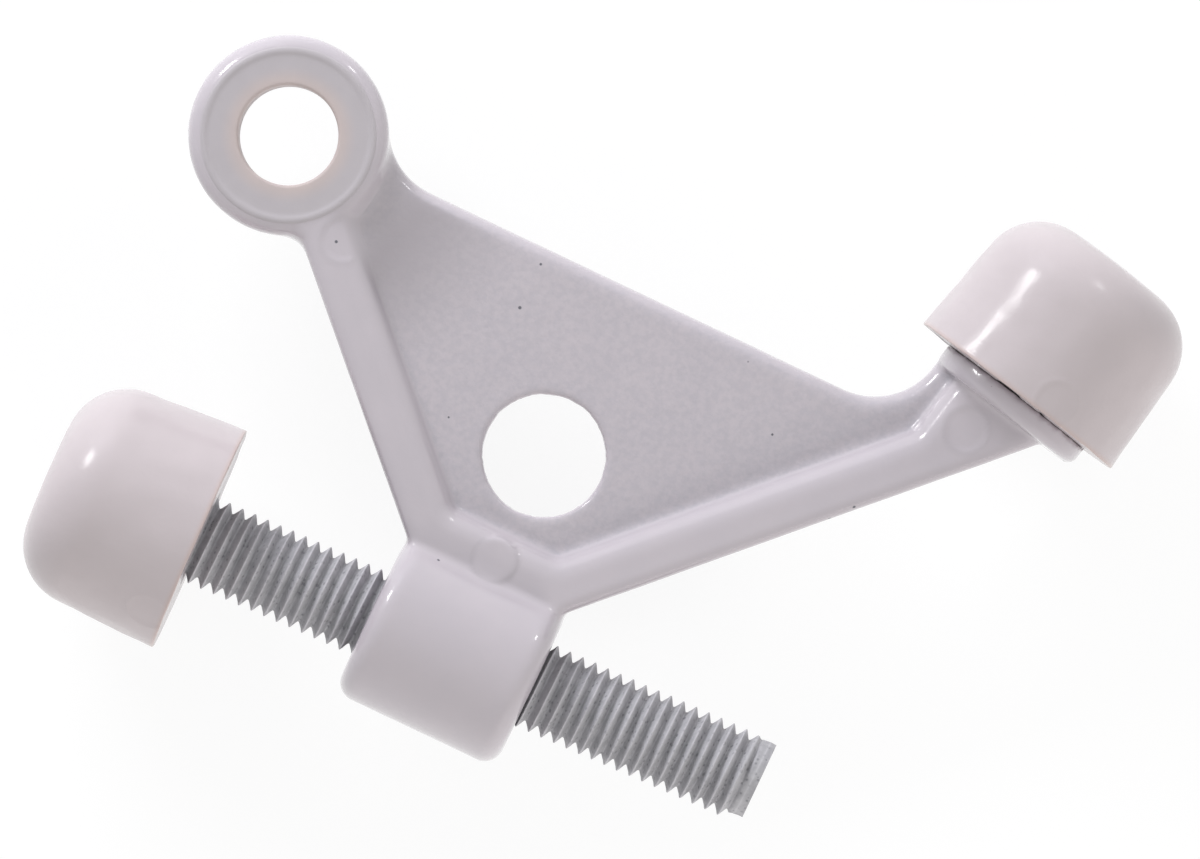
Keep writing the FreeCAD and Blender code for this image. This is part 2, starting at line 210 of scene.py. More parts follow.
class Graph:
    """Short ways to add and join the nodes of one tree."""

    def __init__(self, tree):
        self.tree = tree

    def add(self, kind, **settings):
        made = self.tree.nodes.new(kind)
        for name, value in settings.items():
            setattr(made, name, value)
        return made

    def set(self, socket, value):
        if isinstance(value, bpy.types.NodeSocket):
            self.tree.links.new(value, socket)
        else:
            socket.default_value = value

    def math(self, operation, first, second=0.0):
        made = self.add("ShaderNodeMath", operation=operation)
        self.set(made.inputs[0], first)
        self.set(made.inputs[1], second)
        return made.outputs[0]

    def span(self, value, low, high):
        made = self.add("ShaderNodeMapRange", interpolation_type="SMOOTHSTEP")
        for socket, number in zip(made.inputs, (value, low, high)):
            self.set(socket, number)
        return made.outputs[0]

    def mix(self, share, first, second):
        made = self.add("ShaderNodeMix", data_type="RGBA")
        self.set(made.inputs[0], share)
        self.set(made.inputs[6], first)
        self.set(made.inputs[7], second)
        return made.outputs[2]

    def noise(self, where, scale, detail, rough=0.5):
        made = self.add("ShaderNodeTexNoise")
        self.set(made.inputs["Vector"], where)
        self.set(made.inputs["Scale"], scale)
        made.inputs["Detail"].default_value = detail
        made.inputs["Roughness"].default_value = rough
        return made.outputs[0]

    def group(self, tree, **values):
        made = self.add("ShaderNodeGroup", node_tree=tree)
        for name, value in values.items():
            self.set(made.inputs[name.replace("_", " ").capitalize()], value)
        return made.outputs


def effect(name, inputs, outputs, fill):
    """A node group with named sockets, built once."""
    if name in bpy.data.node_groups:
        return bpy.data.node_groups[name]
    tree = bpy.data.node_groups.new(name, "ShaderNodeTree")
    for label, value in inputs:
        tree.interface.new_socket(label, in_out="INPUT", socket_type="NodeSocketFloat").default_value = value
    for label in outputs:
        tree.interface.new_socket(label, in_out="OUTPUT", socket_type="NodeSocketFloat")
    graph = Graph(tree)
    entry = graph.add("NodeGroupInput")
    leave = graph.add("NodeGroupOutput")
    place = graph.add("ShaderNodeTexCoord").outputs["Object"]
    fill(graph, place, entry.outputs, leave.inputs)
    return tree


def skin_effect():
    """Dimples and slow blotches of a flowed surface."""
    def fill(graph, place, given, out):
        dimples = graph.noise(place, graph.math("DIVIDE", 1.0, given["Dimple size"]), 1.0)
        finer = graph.noise(place, graph.math("DIVIDE", 2.7, given["Dimple size"]), 1.0)
        height = graph.math("ADD", dimples, graph.math("MULTIPLY", finer, 0.35))
        blotches = graph.noise(place, graph.math("DIVIDE", 1.0, given["Blotch size"]), 3.0, 0.6)
        graph.set(out["Height"], height)
        graph.set(out["Blotches"], graph.span(blotches, 0.3, 0.7))
    return effect("flowed_skin", [("Dimple size", 0.8 * MM), ("Blotch size", 4 * MM)],
                  ["Height", "Blotches"], fill)


def specks_effect():
    """Sparse round specks."""
    def fill(graph, place, given, out):
        cells = graph.add("ShaderNodeTexVoronoi")
        graph.set(cells.inputs["Vector"], place)
        graph.set(cells.inputs["Scale"], graph.math("DIVIDE", 1.0, given["Spacing"]))
        chance = graph.add("ShaderNodeSeparateColor")
        graph.set(chance.inputs[0], cells.outputs["Color"])
        size = graph.math("DIVIDE", given["Size"], given["Spacing"])
        size = graph.math("MULTIPLY", size, graph.math("ADD", chance.outputs[1], 0.3))
        dot = graph.span(cells.outputs["Distance"], size, graph.math("MULTIPLY", size, 0.5))
        kept = graph.math("LESS_THAN", chance.outputs[0], given["Share"])
        graph.set(out["Mask"], graph.math("MULTIPLY", dot, kept))
    return effect("sparse_specks", [("Spacing", 3 * MM), ("Size", 0.15 * MM), ("Share", 0.2)], ["Mask"], fill)


def finish_named(name):
    """A new material and its graph, with one surface shader."""
    material = bpy.data.materials.new(name)
    material.use_nodes = True
    graph = Graph(material.node_tree)
    surface = next(n for n in material.node_tree.nodes if n.type == "BSDF_PRINCIPLED")
    return material, graph, surface.inputs


def bumped(graph, sockets, height, strength, depth):
    bump = graph.add("ShaderNodeBump")
    bump.inputs["Strength"].default_value = strength
    bump.inputs["Distance"].default_value = depth
    graph.set(bump.inputs["Height"], height)
    graph.set(sockets["Normal"], bump.outputs[0])


def rgba(colour):
    return (*colour, 1.0)


def enamel_finish(settings):
    """Thick glossy enamel, dimpled: painted shade in creases, by the eye and round the marks, and a few specks under
    it.
    """
    material, graph, sockets = finish_named("white_enamel")
    skin = graph.group(skin_effect(), dimple_size=0.75 * MM, blotch_size=5 * MM)
    grain = graph.group(skin_effect(), dimple_size=0.4 * MM, blotch_size=0.6 * MM)
    dirt = graph.group(specks_effect(), spacing=1.6 * MM, size=0.2 * MM, share=0.07)
    # Painted shade in the creases, made patchy, from the mask of concave creases
    hollow = graph.add("ShaderNodeAttribute", attribute_name="hollow").outputs["Fac"]
    flat = graph.add("ShaderNodeAttribute", attribute_name="web").outputs["Fac"]
    shade = graph.add("ShaderNodeAttribute", attribute_name="shade").outputs["Fac"]
    patchy = graph.math("ADD", graph.math("MULTIPLY", grain["Blotches"], 0.3), 0.25)
    body = graph.mix(graph.math("MULTIPLY", hollow, patchy), rgba(settings.enamel), rgba(settings.hollow))
    mottle = graph.math("MULTIPLY", graph.math("MULTIPLY", grain["Blotches"], flat), 0.3)
    mottle = graph.math("ADD", mottle, graph.math("MULTIPLY", skin["Blotches"], 0.10))
    body = graph.mix(mottle, body, rgba(settings.hollow))
    body = graph.mix(shade, body, rgba([c * 0.68 for c in settings.enamel]))
    graph.set(sockets["Base Color"], graph.mix(dirt["Mask"], body, rgba(settings.speck)))
    graph.set(sockets["Roughness"], graph.math("ADD", graph.math("MULTIPLY", skin["Blotches"], 0.06), 0.2))
    sockets["Coat Weight"].default_value = 0.9
    sockets["Coat Roughness"].default_value = 0.06
    height = graph.math("MULTIPLY", skin["Height"], graph.math("ADD", graph.math("MULTIPLY", flat, 0.75), 0.25))
    bumped(graph, sockets, height, 0.7, 0.05 * MM)
    return material


def nylon_finish(settings):
    """Satin nylon, warmer and paler beside the hole, where warm bounce light is painted."""
    material, graph, sockets = finish_named("bushing_plastic")
    skin = graph.group(skin_effect(), dimple_size=0.5 * MM, blotch_size=2.5 * MM)
    place = graph.add("ShaderNodeTexCoord").outputs["Object"]
    apart = graph.add("ShaderNodeSeparateXYZ")
    graph.set(apart.inputs[0], place)
    across = graph.math("ADD", graph.math("POWER", apart.outputs[0], 2.0), graph.math("POWER", apart.outputs[1], 2.0))
    # Painted warm bounce light on the nylon, growing towards the hole
    thin = graph.span(graph.math("SQRT", across), 6.4 * MM, 4.7 * MM)
    body = graph.mix(thin, rgba(settings.nylon), rgba(settings.mouth))
    shade = graph.math("MULTIPLY", skin["Blotches"], 0.12)
    graph.set(sockets["Base Color"], graph.mix(shade, body, rgba([c * 0.75 for c in settings.nylon])))
    graph.set(sockets["Roughness"], graph.math("ADD", graph.math("MULTIPLY", skin["Blotches"], 0.1), 0.38))
    bumped(graph, sockets, skin["Height"], 0.25, 0.02 * MM)
    return material


def zinc_finish(settings):
    """Dull zinc plating: streaked along the thread, pitted, paler on the crests as painted highlight and wear."""
    material, graph, sockets = finish_named("zinc_plated_steel")
    skin = graph.group(skin_effect(), dimple_size=0.25 * MM, blotch_size=1.1 * MM)
    pits = graph.group(specks_effect(), spacing=0.42 * MM, size=0.18 * MM, share=0.5)
    crest = graph.add("ShaderNodeAttribute", attribute_name="crest").outputs["Fac"]
    body = graph.mix(graph.math("MULTIPLY", skin["Blotches"], 0.35), rgba(settings.zinc), rgba(settings.pit))
    body = graph.mix(graph.math("MULTIPLY", pits["Mask"], 0.75), body, rgba(settings.pit))
    # Painted highlight along the thread's crests, together with their wear
    crest_highlight_and_wear = rgba([min(1.0, c * 1.35) for c in settings.zinc])
    graph.set(sockets["Base Color"], graph.mix(graph.math("MULTIPLY", crest, 0.5), body, crest_highlight_and_wear))
    sockets["Metallic"].default_value = 0.2
    graph.set(sockets["Roughness"], graph.math("ADD", graph.math("MULTIPLY", skin["Blotches"], 0.15), 0.5))
    rough = graph.math("SUBTRACT", skin["Height"], graph.math("MULTIPLY", pits["Mask"], 0.8))
    bumped(graph, sockets, rough, 0.6, 0.04 * MM)
    return material


def rubber_finish(settings):
    """Semi-gloss moulded rubber, warmer at the thin rim, with a few specks."""
    material, graph, sockets = finish_named("white_rubber")
    skin = graph.group(skin_effect(), dimple_size=1.1 * MM, blotch_size=6 * MM)
    dirt = graph.group(specks_effect(), spacing=3.6 * MM, size=0.2 * MM, share=0.09)
    rim = graph.add("ShaderNodeAttribute", attribute_name="rim").outputs["Fac"]
    body = graph.mix(rim, rgba(settings.rubber), rgba(settings.rim))
    shade = graph.math("MULTIPLY", skin["Blotches"], 0.08)
    body = graph.mix(shade, body, rgba([c * 0.7 for c in settings.rubber]))
    graph.set(sockets["Base Color"], graph.mix(dirt["Mask"], body, rgba(settings.speck)))
    graph.set(sockets["Roughness"], graph.math("ADD", graph.math("MULTIPLY", skin["Blotches"], 0.07), 0.19))
    bumped(graph, sockets, skin["Height"], 0.3, 0.05 * MM)
    return material


# Meshes

def stand(origin, along):
    """Frame whose Z runs along a direction in the XY plane and whose Y is straight up."""
    up = Vector((0, 0, 1))
    turn = Matrix((along.cross(up), up, along)).transposed()
    return Matrix.Translation(origin) @ turn.to_4x4()


def rod_frame():
    return stand(BOSS_CENTRE, ROD_ALONG)


def points_of(mesh):
    flat = np.empty(len(mesh.vertices) * 3)
    mesh.vertices.foreach_get("co", flat)
    return flat.reshape(-1, 3)


def put_points(mesh, points):
    mesh.vertices.foreach_set("co", np.ascontiguousarray(points, dtype=np.float32).ravel())
    mesh.update()


def normals_of(mesh):
    flat = np.empty(len(mesh.vertices) * 3, dtype=np.float32)
    mesh.vertex_normals.foreach_get("vector", flat)
    return flat.reshape(-1, 3).astype(float)


def put_mask(mesh, name, values):
    layer = mesh.attributes.new(name, "FLOAT", "POINT")
    layer.data.foreach_set("value", np.clip(values, 0, 1).astype(np.float32))


def smooth_step(low, high, value):
    share = np.clip((value - low) / (high - low), 0, 1)
    return share * share * (3 - 2 * share)


def away_from(points, place):
    """Each point's distance from a place, seen from above."""
    return np.hypot(points[:, 0] - place[0], points[:, 1] - place[1])


def ring(away, radius, width):
    """One on a circle, falling softly to nothing beside it."""
    return np.exp(-((away - radius) / width) ** 2)


def waves(points, length, seed):
    """Smooth noise from -1 to 1 at each point."""
    shift = Vector((seed * 7.31, seed * 3.17, seed * 5.77))
    return np.array([noise.noise(Vector(p) / length + shift) for p in points])


class Neighbours:
    """The mean of the points that edges join to each point."""

    def __init__(self, mesh):
        pairs = np.empty(len(mesh.edges) * 2, dtype=np.int64)
        mesh.edges.foreach_get("vertices", pairs)
        pairs = pairs.reshape(-1, 2)
        self.near = np.concatenate([pairs[:, 0], pairs[:, 1]])
        self.far = np.concatenate([pairs[:, 1], pairs[:, 0]])
        self.count = len(mesh.vertices)
        self.degree = np.maximum(np.bincount(self.near, minlength=self.count), 1)

    def mean(self, values):
        if values.ndim == 1:
            return np.bincount(self.near, values[self.far], self.count) / self.degree
        return np.stack([self.mean(column) for column in values.T], axis=1)


def evened(node, spacing):
    """A CAD node's surface as an even mesh, in millimetres."""
    mesh = node.data.copy()
    mesh.transform(Matrix.Scale(1 / MM, 4))
    rough = bpy.data.objects.new("rough", mesh)
    bpy.context.scene.collection.objects.link(rough)
    remesh = rough.modifiers.new("even", "REMESH")
    remesh.mode = "VOXEL"
    remesh.voxel_size = spacing
    even = bpy.data.meshes.new_from_object(rough.evaluated_get(bpy.context.evaluated_depsgraph_get()))
    bpy.data.objects.remove(rough)
    bpy.data.meshes.remove(mesh)
    if not even.polygons:
        raise RuntimeError("the casting's surface could not be meshed")
    return even


def shaded(mesh):
    mesh.polygons.foreach_set("use_smooth", np.ones(len(mesh.polygons), dtype=bool))
    mesh.update()


def piece(name, mesh, body, slot, finish, *nodes):
    """An object in the part, riding on a body in place of some solids."""
    mesh.materials.clear()
    mesh.materials.append(finish)
    made = bpy.data.objects.new(name, mesh)
    bpy.context.scene.collection.objects.link(made)
    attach(made, body)
    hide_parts(*nodes)


def lathe(name, profile, segments):
    """A mesh turned about Z from (radius, height) points, whose ends lie on the axis or meet each other."""
    verts, rings = [], []
    for radius, height in profile:
        if radius < 1e-6:
            rings.append([len(verts)] * segments)
            verts.append((0, 0, height))
            continue
        rings.append(list(range(len(verts), len(verts) + segments)))
        for step in range(segments):
            turn = 2 * math.pi * step / segments
            verts.append((radius * math.cos(turn), radius * math.sin(turn), height))
    if profile[0][0] > 1e-6:
        rings.append(rings[0])
    faces = []
    for lower, upper in zip(rings, rings[1:]):
        for step in range(segments):
            after = (step + 1) % segments
            corners = [lower[step], lower[after], upper[after], upper[step]]
            faces.append(list(dict.fromkeys(corners)))
    mesh = bpy.data.meshes.new(name)
    mesh.from_pydata(verts, [], faces)
    return mesh


def arc_points(centre, radius, start, end, count):
    """Points of an arc between two angles in degrees."""
    turns = np.radians(np.linspace(start, end, count))
    return [(centre[0] + radius * math.cos(t), centre[1] + radius * math.sin(t)) for t in turns]


def run_points(start, end, count):
    """Points along a straight run, without its ends."""
    return [tuple(np.array(start) + (np.array(end) - np.array(start)) * k / count) for k in range(1, count)]


# Enamelled casting

EJECTOR_R = 2.0
EJECTOR_PAD = (33.4, -26.7)
EJECTOR_MARKS = ((8.49, -6.43), (66.97, 2.21))
OUTLINE_R = EJECTOR_R + 0.1
OUTLINE_SHADES = (0.35, 0.15, 0.2)  # round the pad and each mark
PAD_LOW = -28.2             # the boss's blend begins here
PAD_RISE = 0.06             # above the leg's face
PAD_RIDGE = 0.02
MARK_RIDGE = 0.05
MARK_DIP = 0.07
DRIP = (-6.49, 2.85)
DRIP_RISE = 0.2
CORNER_FILL = 0.9           # how fast the paint gathers beside the eye, and for how many rounds
CORNER_ROUNDS = 70
FLOW_STEPS = (0.5, -0.52)   # one step in and one out, so that the paint's flow keeps the size
WEB_TOP = 2.1               # only the web's faces lie lower
EYE_SHADE = (0.35, 0.55)    # at the eye's foot, and how much more on the web beside it


def cast_details(points, normals, unevenness):
    """How far the enamel's surface moves out: waves, ejector marks and a drip on the eye."""
    move = (waves(points, 4.5, 1) + 0.45 * waves(points, 1.7, 2)) * unevenness
    upward = smooth_step(0.7, 0.95, normals[:, 2]) * smooth_step(LEG_TOP - 0.4, LEG_TOP - 0.2, points[:, 2])
    for place in EJECTOR_MARKS:
        away = away_from(points, place)
        inside = 1 - smooth_step(EJECTOR_R - 0.35, EJECTOR_R, away)
        move += upward * (MARK_RIDGE * ring(away, OUTLINE_R, 0.2) - MARK_DIP * inside)
    move += upward * PAD_RIDGE * ring(away_from(points, EJECTOR_PAD), EJECTOR_R, 0.22)
    turn = math.atan2(DRIP[1], DRIP[0])
    outward = points[:, 0] * math.cos(turn) + points[:, 1] * math.sin(turn) - math.hypot(*DRIP)
    around = points[:, 1] * math.cos(turn) - points[:, 0] * math.sin(turn)
    drip = np.exp(-(outward / 0.35) ** 2 - (around / 0.9) ** 2) * (points[:, 2] > LEG_TOP)
    return move + DRIP_RISE * drip


def eye_shade(points, normals):
    """Less light on the web beside the tall eye, fading up the blends."""
    from_pin = away_from(points, (0, 0))
    inward = WEB_HOLE - points[:, :2]
    facing = np.einsum("ij,ij->i", normals[:, :2], inward) / np.maximum(np.hypot(*inward.T), 1e-6)
    low = (1 - smooth_step(1.7, LEG_TOP, np.abs(points[:, 2]))) * smooth_step(-0.4, -0.1, facing)
    foot, more = EYE_SHADE
    depth = foot + more * smooth_step(EYE_R + 1, EYE_R + 5, from_pin)
    return depth * (1 - smooth_step(EYE_R + 4, EYE_R + 16, from_pin)) * low


def pad_outlines(points, normals):
    """Thin rings round the ejector pad and marks, where the light is less."""
    rings = np.zeros(len(points))
    for place, depth in zip((EJECTOR_PAD, *EJECTOR_MARKS), OUTLINE_SHADES):
        rings = np.maximum(rings, depth * ring(away_from(points, place), OUTLINE_R, 0.24))
    return rings * smooth_step(0.5, 0.9, normals[:, 2]) * (points[:, 2] > LEG_TOP - 1)


def soften_pad(points, beside):
    """Make the sharp ejector pad again with soft edges, on the leg's face and the slope beside it."""
    def ground():
        away = away_from(points, EJECTOR_PAD)
        beyond = np.clip(points[:, 1] - BOSS_SLOPE_START, 0, 0.9 * LEG_ROUND_R)
        return away, LEG_TOP - LEG_ROUND_R + np.sqrt(LEG_ROUND_R ** 2 - beyond ** 2)
    away, face = ground()
    upper = (points[:, 1] > PAD_LOW) & (points[:, 2] > 1.0)
    proud = upper & (away < EJECTOR_R + 0.3) & (points[:, 2] > face)
    points[proud, 2] = face[proud]
    near = upper & (away < EJECTOR_R + 0.6)
    for _ in range(10):
        points[near] += 0.5 * (beside.mean(points) - points)[near]
    away, face = ground()
    rise = (LEG_TOP + PAD_RISE - face) * (1 - smooth_step(EJECTOR_R - 0.25, EJECTOR_R + 0.25, away))
    points[near, 2] += 0.75 * rise[near]


def fill_corners(mesh, points, beside, share, rounds):
    """Let paint gather in the inward corners, as far as each point's share allows."""
    for _ in range(rounds):
        put_points(mesh, points)
        normals = normals_of(mesh)
        rise = np.einsum("ij,ij->i", beside.mean(points) - points, normals)
        points += normals * (np.maximum(rise, 0) * share)[:, None]


def ragged_web_hole(points):
    """The web's hole with the slightly uneven edge that trimming leaves."""
    across = points[:, :2] - WEB_HOLE
    away = np.hypot(*across.T)
    turn = np.arctan2(across[:, 1], across[:, 0])
    edge = np.stack([np.cos(turn) * WEB_HOLE_R, np.sin(turn) * WEB_HOLE_R, points[:, 2] * 0.3], axis=1)
    uneven = 0.05 * waves(edge, 1.6, 3) + 0.06 * waves(edge, 0.5, 4)
    move = ring(away, WEB_HOLE_R, 0.5) * uneven
    points[:, :2] += across / np.maximum(away, 1e-6)[:, None] * move[:, None]


def open_screw_hole(points, radius):
    """Room for the thread in the boss."""
    centre = np.array(BOSS_CENTRE) / MM
    along = np.array(ROD_ALONG)
    span = points - centre
    place = span @ along
    radial = span - place[:, None] * along
    away = np.linalg.norm(radial, axis=1)
    tight = (np.abs(place) < BOSS_HALF + 1) & (away < radius)
    points[tight] += radial[tight] * (radius / np.maximum(away[tight], 1e-6) - 1)[:, None]


class DOORSTOP_OT_casting(bpy.types.Operator):
    """Build the enamelled casting"""
    bl_idname = "doorstop.casting"
    bl_label = "Casting"

    def execute(self, context):
        settings = context.scene.door_stop.casting
        mesh = evened(frame["nodes"]["body_casting"], settings.grain / MM)
        points = points_of(mesh)
        beside = Neighbours(mesh)
        soften_pad(points, beside)
        from_pin = away_from(points, (0, 0))
        beside_eye = smooth_step(EYE_R - 1.2, EYE_R - 0.5, from_pin)
        beside_eye *= 1 - smooth_step(EYE_R + 2.5, EYE_R + 7, from_pin)
        fill_corners(mesh, points, beside, CORNER_FILL * beside_eye, CORNER_ROUNDS)
        for _ in range(settings.flow):
            for share in FLOW_STEPS:
                points += share * (beside.mean(points) - points)
        put_points(mesh, points)
        normals = normals_of(mesh)
        bend = np.einsum("ij,ij->i", beside.mean(points) - points, normals) / (settings.grain / MM)
        for _ in range(3):
            bend = beside.mean(bend)
        points += normals * cast_details(points, normals, settings.unevenness / MM)[:, None]
        ragged_web_hole(points)
        open_screw_hole(points, settings.screw_hole / MM)
        put_points(mesh, points * MM)
        web = (np.abs(points[:, 2]) < WEB_TOP) * smooth_step(0.6, 0.9, abs(normals[:, 2]))
        # Painted shade: a mask of the concave creases low on the casting, which the enamel's colour darkens
        painted_crease_shade = smooth_step(0.015, 0.1, bend) * (1 - smooth_step(2.2, 2.9, np.abs(points[:, 2])))
        put_mask(mesh, "hollow", painted_crease_shade)
        put_mask(mesh, "web", web)
        put_mask(mesh, "shade", np.maximum(eye_shade(points, normals), pad_outlines(points, normals)))
        shaded(mesh)
        piece("enamelled_casting", mesh, "casting", "white_enamel", enamel_finish(settings), "body_casting")
        return {"FINISHED"}


# Bushing

# The flange's soft lip over the edge of its recess: how far out from the flange's edge, and up from the eye's top
FLANGE_LIP = ((-0.35, -0.09), (-0.2, -0.082), (-0.05, -0.05), (0.06, -0.008), (0.18, 0.015), (0.3, 0.02),
              (0.44, -0.005), (0.58, -0.075), (0.72, -0.23))
FACE_RAISE = 0.26           # the nylon stands a little higher than its plain solid


class DOORSTOP_OT_bushing(bpy.types.Operator):
    """Build the nylon bushing in the eye"""
    bl_idname = "doorstop.bushing"
    bl_label = "Bushing"

    def execute(self, context):
        top = BUSHING_END + FACE_RAISE
        mouth = arc_points((PIN_BORE_R + MOUTH_R, top - MOUTH_R), MOUTH_R, 180, 90, 7)
        foot = arc_points((PIN_BORE_R + MOUTH_R, MOUTH_R - top), MOUTH_R, 270, 180, 7)
        lip = [(FLANGE_R + across, EYE_TOP + up) for across, up in FLANGE_LIP]
        face = run_points(mouth[-1], (lip[0][0], top), 8)
        lip.append((lip[-1][0], FLANGE_LOW + 0.2))
        outside = [(SLEEVE_R, FLANGE_LOW), (SLEEVE_R, -top + 0.15), (SLEEVE_R - 0.15, -top)]
        mesh = lathe("nylon_bushing", mouth + face + lip + outside + foot, 160)
        mesh.transform(Matrix.Scale(MM, 4))
        mesh.flip_normals()
        shaded(mesh)
        finish = nylon_finish(context.scene.door_stop.bushing)
        piece("nylon_bushing", mesh, "casting", "bushing_plastic", finish, "hinge_pin_bushing")
        return {"FINISHED"}


# Threaded rod

# Share of a pitch, and share of the thread's depth there
THREAD_FORM = ((0.0, 0.02), (0.07, 0.0), (0.14, 0.06), (0.28, 0.34), (0.42, 0.62), (0.52, 0.90), (0.56, 0.985),
               (0.59, 1.0), (0.62, 0.985), (0.66, 0.90), (0.77, 0.62), (0.89, 0.28), (0.96, 0.10))
CREST_SHARE = 0.59
# Height of the thread's wear, how often it comes round and where it starts
THREAD_WEAR = ((0.012, 1.37, 1.0), (0.010, 5.3, 0.0), (0.008, 13.1, 0.0))
TAIL_LENGTH = 1.3
TAIL_R = 3.42               # the bare stub at the free end, and how much thicker it is on its lower side
TAIL_EXTRA = 0.42
TAIL_LEAN = Vector((0.03, 0.02, 1))
HEAD_CHAMFER = 0.6


def thread_mesh(settings):
    """Thread along Z in millimetres, longer than the rod at both ends."""
    pitch, crest, root = settings.pitch / MM, settings.crest_r / MM, settings.root_r / MM
    steps = settings.steps
    first = math.floor((-ROD_TO_BUMPER - 4) / pitch) * steps
    last = math.ceil((ROD_TO_TAIL + 4) / pitch) * steps
    index = np.arange(first, last)
    turn = 2 * math.pi * index / steps
    rise = pitch * index / steps + settings.crest_at / MM - CREST_SHARE * pitch
    verts, crests = [], []
    for offset, share in THREAD_FORM:
        place = rise + offset * pitch
        wear = sum(height * np.sin(turn * rate + start) for height, rate, start in THREAD_WEAR)
        radius = root + (crest - root) * share + wear * share
        lower = 0.5 - 0.5 * np.cos(turn)
        stub = TAIL_R + TAIL_EXTRA * smooth_step(0.35, 0.8, lower)
        into_tail = smooth_step(ROD_TO_TAIL - TAIL_LENGTH - 0.25, ROD_TO_TAIL - TAIL_LENGTH + 0.15, place)
        radius = radius * (1 - into_tail) + (stub + 0.05 * (share - 0.5)) * into_tail
        blunt = smooth_step(ROD_TO_TAIL - 2.6, ROD_TO_TAIL - 1.5, place)
        radius = np.minimum(radius, crest - 0.12 * blunt * lower - 0.04 * blunt)
        verts.append(np.stack([radius * np.cos(turn), radius * np.sin(turn), place], axis=1))
        crests.append(np.full(len(turn), share ** 6))
    count, forms = len(index), len(THREAD_FORM)
    grid = np.arange(forms * count).reshape(forms, count)
    faces = []
    for form in range(forms):
        here = grid[form]
        above = grid[form + 1] if form + 1 < forms else np.concatenate([grid[0][steps:], np.full(steps, -1)])
        quads = np.stack([here[:-1], here[1:], above[1:], above[:-1]], axis=1)
        faces.append(quads[(quads >= 0).all(axis=1)])
    mesh = bpy.data.meshes.new("threaded_screw")
    mesh.from_pydata(np.concatenate(verts).tolist(), [], np.concatenate(faces).tolist())
    put_mask(mesh, "crest", np.concatenate(crests))
    return mesh


def cut_end(solid, place, outward):
    """Cut a mesh across its axis and close the cut."""
    everything = solid.verts[:] + solid.edges[:] + solid.faces[:]
    cut = bmesh.ops.bisect_plane(solid, geom=everything, dist=1e-5, plane_co=place, plane_no=outward,
                                 clear_outer=True)
    rim = [item for item in cut["geom_cut"] if isinstance(item, bmesh.types.BMEdge)]
    made = bmesh.ops.triangle_fill(solid, use_beauty=True, use_dissolve=False, edges=rim, normal=outward)
    return [item for item in made["geom"] if isinstance(item, bmesh.types.BMFace)]


class DOORSTOP_OT_screw(bpy.types.Operator):
    """Build the threaded rod and the round head inside its bumper"""
    bl_idname = "doorstop.screw"
    bl_label = "Threaded rod"

    def execute(self, context):
        settings = context.scene.door_stop.screw
        mesh = thread_mesh(settings)
        solid = bmesh.new()
        solid.from_mesh(mesh)
        near_bumper = -ROD_TO_BUMPER - 0.6
        flat_ends = cut_end(solid, Vector((0, 0, near_bumper)), Vector((0, 0, -1)))
        flat_ends += cut_end(solid, Vector((0, 0, ROD_TO_TAIL)), TAIL_LEAN.normalized())
        for face in solid.faces:
            face.smooth = True
        for face in flat_ends:
            face.smooth = False
        neck_r = settings.root_r / MM + 0.3
        head_low, head_high = -ROD_TO_BUMPER - LIP_T, -ROD_TO_BUMPER - LIP_T - HEAD_T
        head_r = HEAD_D / 2
        flat_r = head_r - HEAD_CHAMFER
        profile = [(0, near_bumper + 0.4), (neck_r, near_bumper + 0.4), (neck_r, head_low), (flat_r, head_low)]
        profile += [(head_r, head_low - HEAD_CHAMFER), (head_r, head_high + HEAD_CHAMFER), (flat_r, head_high)]
        profile.append((0, head_high))
        head = lathe("rod_head", profile, 72)
        solid.from_mesh(head)
        bpy.data.meshes.remove(head)
        bmesh.ops.recalc_face_normals(solid, faces=solid.faces)
        solid.to_mesh(mesh)
        solid.free()
        mesh.transform(rod_frame() @ Matrix.Scale(MM, 4))
        piece("threaded_screw", mesh, "rod", "zinc_plated_steel", zinc_finish(settings), "threaded_rod")
        return {"FINISHED"}


# Bumpers

SEAT_SAG = 0.085            # the arm's bumper all but closes the gap to its seat
MOULD_MARK_RISE = 1.5       # from the open end to the mark's middle
MOULD_MARK_R = 2.05
MOULD_RIDGE = 0.06
MOULD_DIP = 0.03
RIM_R = 0.14                # rounding of the open end's edge
NECK_STEP = 1.7             # the socket's mouth is this much narrower than its head, in radius
ROD_MARK_TURN = -47.0       # degrees from the top, round each bumper
ARM_MARK_TURN = 16.3


def bumper_profile():
    """Half section of a bumper, from the end's middle round the rim and into the socket."""
    open_r = BUMPER_D / 2
    lean = math.radians(BUMPER_DRAFT)
    low = BUMPER_HEIGHT - BUMPER_CROWN
    end_r = open_r - low * math.tan(lean)
    tilt = math.atan2(BUMPER_CROWN, end_r)
    across, up = end_r - BUMPER_SHOULDER_R, low - BUMPER_SHOULDER_R
    for _ in range(6):
        across = open_r - up * math.tan(lean) - BUMPER_SHOULDER_R / math.cos(lean)
        up = low + (end_r - across) * math.tan(tilt) - BUMPER_SHOULDER_R / math.cos(tilt)
    bend = arc_points((across, up), BUMPER_SHOULDER_R, 90 - math.degrees(tilt), BUMPER_DRAFT, 34)
    bend_r, bend_up = bend[0]
    crown = []
    for r in np.linspace(0, bend_r, 24, endpoint=False):
        crown.append((r, bend_up + math.tan(tilt) * bend_r / 2 * (1 - (r / bend_r) ** 2)))
    rim = arc_points((open_r - RIM_R, RIM_R), RIM_R, 0, -90, 5)
    neck = HEAD_D / 2 - NECK_STEP
    cavity_r = HEAD_D / 2 + SOCKET_FIT
    low_cavity, high_cavity = LIP_T - SOCKET_FIT, LIP_T + HEAD_T + SOCKET_FIT
    face = run_points(rim[-1], (neck + 0.2, 0), 24)
    inside = [(neck + 0.2, 0), (neck, 0.2), (neck, low_cavity), (cavity_r, low_cavity), (cavity_r, high_cavity),
              (0, high_cavity)]
    return crown + bend + run_points(bend[-1], rim[0], 44) + rim + face + inside


